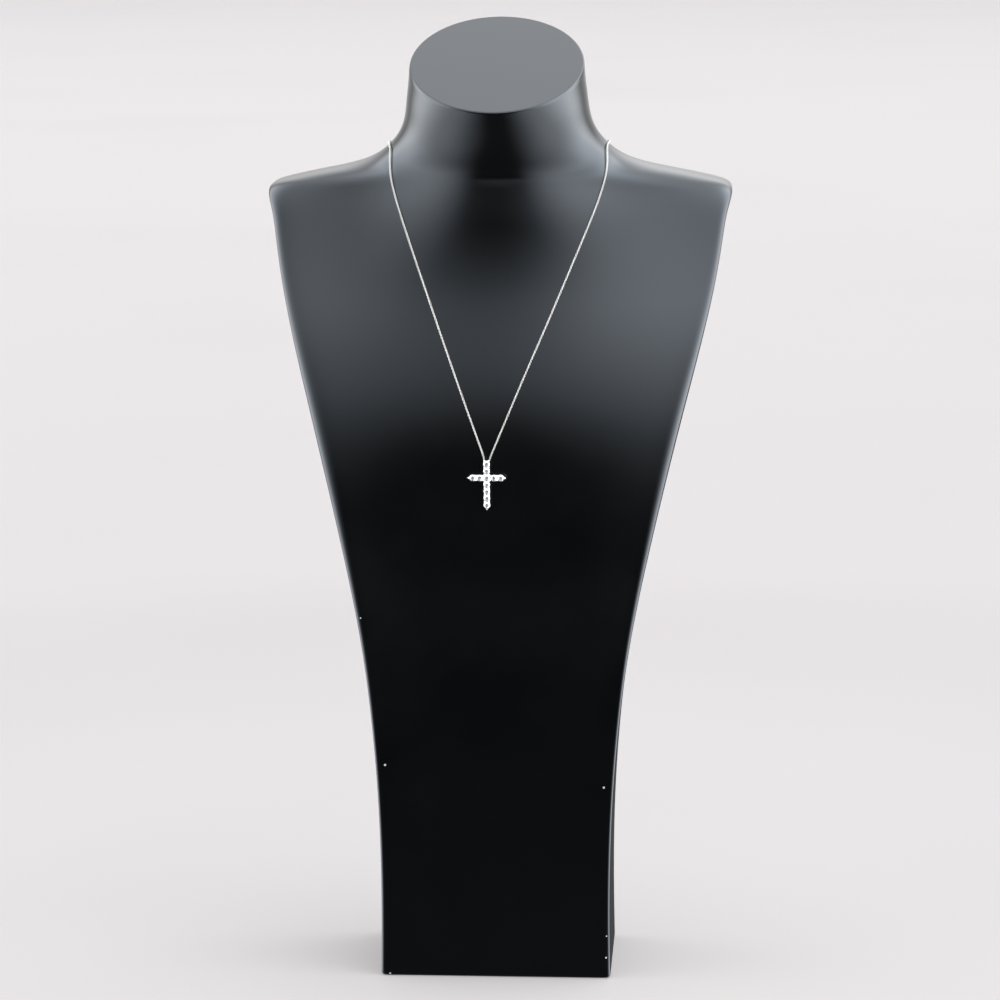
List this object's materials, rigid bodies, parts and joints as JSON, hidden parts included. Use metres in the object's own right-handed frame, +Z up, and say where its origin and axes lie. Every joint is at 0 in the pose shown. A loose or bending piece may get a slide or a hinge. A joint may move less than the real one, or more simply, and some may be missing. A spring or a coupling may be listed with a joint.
{
  "type": "cross pendant necklace on neck bust",
  "caption": "Black lacquered neck bust with square shoulders, wearing a fine white metal chain with a small cross pendant of round prong-set stones.",
  "frame": {"origin": "centre of the bust's foot, on the surface that it stands on", "axes": "+Z up, -Y towards the bust's front, +X to the right as seen from the front"},
  "size_m": [0.2112, 0.1008, 0.4305],
  "materials": {
    "black_lacquer": "satin black lacquer",
    "white_gold": "polished, rhodium plated",
    "white_gold_chain": "polished, rhodium plated links",
    "clear_stone": "cut and polished"
  },
  "bodies": {
    "root": {"bust": "black_lacquer", "setting": "white_gold", "chain": "white_gold_chain", "clasp": "white_gold", "stone_upright_1": "clear_stone", "stone_upright_2": "clear_stone", "stone_upright_3": "clear_stone", "stone_upright_4": "clear_stone", "stone_upright_5": "clear_stone", "stone_upright_6": "clear_stone", "stone_upright_7": "clear_stone", "stone_left_1": "clear_stone", "stone_left_2": "clear_stone", "stone_right_1": "clear_stone", "stone_right_2": "clear_stone"}
  },
  "joints": []
}
